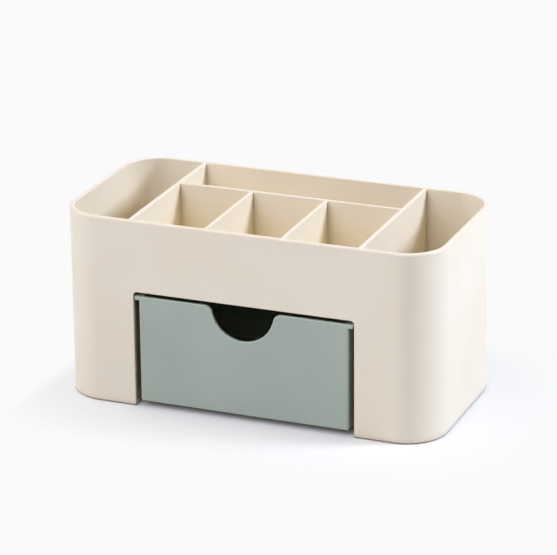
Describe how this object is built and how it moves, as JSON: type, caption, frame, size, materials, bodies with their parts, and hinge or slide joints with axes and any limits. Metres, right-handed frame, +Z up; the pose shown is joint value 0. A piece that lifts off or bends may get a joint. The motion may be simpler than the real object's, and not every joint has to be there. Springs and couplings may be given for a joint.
{
  "type": "makeup organizer with drawer",
  "caption": "Rounded rectangular desktop makeup organizer with open upright compartments above and a pull-out drawer with a half-moon finger notch below.",
  "frame": {"origin": "on the resting surface, under the middle of the housing", "axes": "+X to the right along the front, +Y towards the back wall, +Z up; the drawer pulls out along -Y"},
  "size_m": [0.21, 0.105, 0.104],
  "materials": {
    "cream_plastic": "satin moulded polypropylene, warm cream",
    "sage_plastic": "satin moulded polypropylene, grey green"
  },
  "bodies": {
    "housing": {"housing_shell": "cream_plastic", "partition_left": "cream_plastic", "partition_right": "cream_plastic", "centre_deck": "cream_plastic", "long_divider": "cream_plastic", "short_divider_left": "cream_plastic", "short_divider_right": "cream_plastic", "drawer_rail_left": "cream_plastic", "drawer_rail_right": "cream_plastic"},
    "drawer": {"drawer_tray": "sage_plastic"}
  },
  "joints": [
    {"name": "drawer_slide", "type": "slide", "parent": "housing", "child": "drawer", "axis": [0, -1, 0], "range_m": [0, 0.072]}
  ]
}
